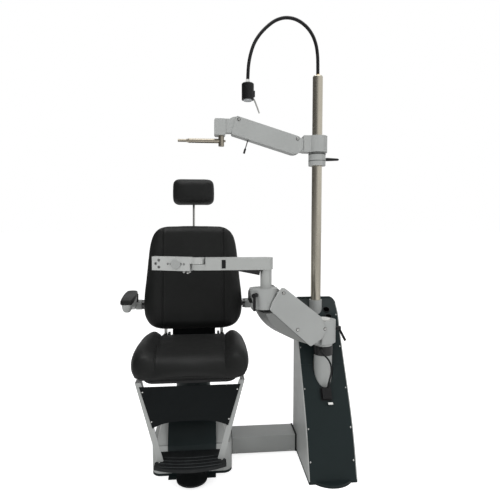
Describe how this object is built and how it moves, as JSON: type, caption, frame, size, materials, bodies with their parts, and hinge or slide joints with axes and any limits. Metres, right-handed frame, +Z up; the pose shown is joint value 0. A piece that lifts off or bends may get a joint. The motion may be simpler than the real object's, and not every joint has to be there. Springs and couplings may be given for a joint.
{
  "type": "ophthalmic examination chair with instrument stand",
  "caption": "Reclining examination chair on a lift column, joined by a floor beam to a stand that carries a lamp, a balanced refraction arm and a slit-lamp arm.",
  "frame": {"origin": "on the floor under the axis of the chair's lift column", "axes": "+X to the stand and the patient's left, +Y away from the viewer towards the chair's back, +Z up"},
  "size_m": [1.0769, 0.714, 2.1525],
  "materials": {
    "light_paint": "satin light grey paint",
    "white_paint": "satin white paint",
    "dark_paint": "satin charcoal paint",
    "black_panel": "matt black moulded panel",
    "black_plastic": "matt black",
    "upholstery": "black leatherette, fine grain",
    "rubber": "matt black rubber",
    "steel": "polished stainless steel",
    "chrome": "bright chrome",
    "glass": "clear lens"
  },
  "bodies": {
    "stand_and_base": {"chair_base_plate": "dark_paint", "base_housing": "light_paint", "column_hood": "light_paint", "apron_panel": "dark_paint", "lift_sleeve": "dark_paint", "lift_actuator": "dark_paint", "pedal_bracket": "dark_paint", "floor_beam": "light_paint", "beam_gaskets": "rubber", "cover_screws": "chrome", "stand_base_plate": "dark_paint", "stand_side_panels": "light_paint", "stand_rear_panel": "light_paint", "stand_front_panels": "dark_paint", "instrument_wells": "black_plastic", "pole_socket": "light_paint", "instrument_pole": "steel", "slit_column": "light_paint", "refraction_collar": "light_paint", "arm_cable": "rubber", "cable_plug": "black_plastic"},
    "chair": {"lift_column": "dark_paint", "seat_frame": "dark_paint", "seat_pan": "black_panel", "seat_cushion": "upholstery", "side_rails": "light_paint", "leg_panel": "black_panel", "footrest": "rubber", "chair_screws": "chrome"},
    "backrest": {"back_cushion": "upholstery", "back_shell": "black_panel", "back_frame": "chrome", "back_cover": "black_panel"},
    "headrest_slide_post": {"headrest_post": "chrome"},
    "headrest": {"headrest_cushion": "upholstery", "headrest_clamp": "black_plastic"},
    "armrest_left": {"arm_pad_left": "upholstery", "arm_beam_left": "light_paint"},
    "armrest_right": {"arm_pad_right": "upholstery", "arm_beam_right": "light_paint"},
    "pedal": {"foot_pedal": "rubber"},
    "brake_ring": {"refraction_brake_ring": "light_paint"},
    "upper_hub": {"refraction_hub": "light_paint"},
    "upper_arm": {"refraction_arm": "light_paint"},
    "upper_link": {"refraction_link": "steel"},
    "upper_head": {"refraction_head": "light_paint"},
    "phoropter_rod": {"refraction_rod": "chrome"},
    "upper_brake_lever": {"refraction_brake_lever": "black_plastic"},
    "lamp_neck": {"lamp_arm": "black_plastic"},
    "lamp": {"lamp_head": "black_plastic", "lamp_lens": "glass"},
    "lower_swivel": {"swivel_housing": "light_paint"},
    "lower_swivel_lever": {"swivel_lever": "black_plastic"},
    "lower_arm": {"slit_arm": "light_paint"},
    "lower_link": {"slit_link": "steel"},
    "lower_head": {"slit_head": "light_paint"},
    "lower_head_lever": {"head_lever": "black_plastic"},
    "table": {"table_arm": "white_paint"},
    "table_switch": {"rocker_switch": "black_plastic"},
    "bracket": {"end_bracket": "white_paint"}
  },
  "joints": [
    {"name": "chair_lift", "type": "slide", "parent": "stand_and_base", "child": "chair", "axis": [0, 0, 1], "range_m": [0, 0.2]},
    {"name": "back_recline", "type": "hinge", "parent": "chair", "child": "backrest", "pos_m": [0, 0.105, 0.56], "axis": [-1, 0, 0], "range_deg": [0, 50]},
    {"name": "headrest_height", "type": "slide", "parent": "backrest", "child": "headrest_slide_post", "axis": [0, 0.1925, 0.9813], "range_m": [0, 0.1]},
    {"name": "headrest_tilt", "type": "hinge", "parent": "headrest_slide_post", "child": "headrest", "pos_m": [0, 0.27269, 1.30567], "axis": [-1, 0, 0], "range_deg": [0, 25]},
    {"name": "armrest_left_flip", "type": "hinge", "parent": "backrest", "child": "armrest_left", "pos_m": [0.3, 0.16011, 0.72141], "axis": [-1, 0, 0], "range_deg": [0, 90]},
    {"name": "armrest_right_flip", "type": "hinge", "parent": "backrest", "child": "armrest_right", "pos_m": [-0.3, 0.16011, 0.72141], "axis": [-1, 0, 0], "range_deg": [0, 90]},
    {"name": "foot_pedal_press", "type": "hinge", "parent": "stand_and_base", "child": "pedal", "pos_m": [0, -0.206, 0.018], "axis": [1, 0, 0], "range_deg": [0, 6], "stiffness_Nm_per_rad": 20, "springref_deg": -2.86},
    {"name": "brake_ring_turn", "type": "hinge", "parent": "stand_and_base", "child": "brake_ring", "pos_m": [0.622, 0.03, 1.47], "axis": [0, 0, 1], "range_deg": [-15, 15]},
    {"name": "upper_arm_swing", "type": "hinge", "parent": "stand_and_base", "child": "upper_hub", "pos_m": [0.622, 0.03, 1.531], "axis": [0, 0, 1], "range_deg": [-8, 100]},
    {"name": "upper_arm_tilt", "type": "hinge", "parent": "upper_hub", "child": "upper_arm", "pos_m": [0.501, 0.03, 1.531], "axis": [0, 1, 0], "range_deg": [-35, 5]},
    {"name": "upper_link_tilt", "type": "hinge", "parent": "upper_hub", "child": "upper_link", "pos_m": [0.501, 0.03, 1.507], "axis": [0, 1, 0], "range_deg": [-35, 5]},
    {"name": "upper_head_level", "type": "hinge", "parent": "upper_arm", "child": "upper_head", "pos_m": [0.21252, 0.03, 1.61865], "axis": [0, 1, 0], "range_deg": [-5, 35]},
    {"name": "phoropter_rod_turn", "type": "hinge", "parent": "upper_head", "child": "phoropter_rod", "pos_m": [0.14402, 0.03, 1.547], "axis": [0, 0, 1], "range_deg": [-90, 90]},
    {"name": "upper_brake_pull", "type": "hinge", "parent": "upper_arm", "child": "upper_brake_lever", "pos_m": [0.27775, 0.03, 1.5633], "axis": [0, 1, 0], "range_deg": [0, 8], "stiffness_Nm_per_rad": 0.5, "springref_deg": -5.73},
    {"name": "lamp_neck_swivel", "type": "hinge", "parent": "stand_and_base", "child": "lamp_neck", "pos_m": [0.622, 0.03, 1.873], "axis": [0, 0, 1], "range_deg": [-45, 45]},
    {"name": "lamp_turn", "type": "hinge", "parent": "lamp_neck", "child": "lamp", "pos_m": [0.2745, 0.03, 1.83], "axis": [0, 0, 1], "range_deg": [-120, 120]},
    {"name": "lower_arm_swing", "type": "hinge", "parent": "stand_and_base", "child": "lower_swivel", "pos_m": [0.622, -0.125, 0.635], "axis": [0, 0, 1], "range_deg": [0, 45]},
    {"name": "lower_swivel_lock", "type": "hinge", "parent": "lower_swivel", "child": "lower_swivel_lever", "pos_m": [0.6314, -0.12158, 0.645], "axis": [1, 0, 0], "range_deg": [-40, 10]},
    {"name": "lower_arm_tilt", "type": "hinge", "parent": "lower_swivel", "child": "lower_arm", "pos_m": [0.56562, -0.14552, 0.652], "axis": [-0.342, 0.9397, 0], "range_deg": [-15, 5]},
    {"name": "lower_link_tilt", "type": "hinge", "parent": "lower_swivel", "child": "lower_link", "pos_m": [0.56562, -0.14552, 0.628], "axis": [-0.342, 0.9397, 0], "range_deg": [-15, 5]},
    {"name": "lower_head_level", "type": "hinge", "parent": "lower_arm", "child": "lower_head", "pos_m": [0.40031, -0.20569, 0.80172], "axis": [-0.342, 0.9397, 0], "range_deg": [-5, 15]},
    {"name": "lower_head_lock", "type": "hinge", "parent": "lower_head", "child": "lower_head_lever", "pos_m": [0.31339, -0.23733, 0.83772], "axis": [-0.5592, -0.829, 0], "range_deg": [-40, 40]},
    {"name": "table_swing", "type": "hinge", "parent": "lower_head", "child": "table", "pos_m": [0.33218, -0.23048, 0.9], "axis": [0, 0, 1], "range_deg": [-10, 100]},
    {"name": "table_switch_rock", "type": "hinge", "parent": "table", "child": "table_switch", "pos_m": [0.14468, -0.25848, 0.971], "axis": [1, 0, 0], "range_deg": [-4, 4]},
    {"name": "bracket_swing", "type": "hinge", "parent": "table", "child": "bracket", "pos_m": [0.03618, -0.23048, 0.97], "axis": [0, 0, 1], "range_deg": [-25, 110]}
  ],
  "couplings": [
    {"joint": "upper_link_tilt", "follows": "upper_arm_tilt", "ratio": 1},
    {"joint": "upper_head_level", "follows": "upper_arm_tilt", "ratio": -1},
    {"joint": "lower_link_tilt", "follows": "lower_arm_tilt", "ratio": 1},
    {"joint": "lower_head_level", "follows": "lower_arm_tilt", "ratio": -1}
  ]
}
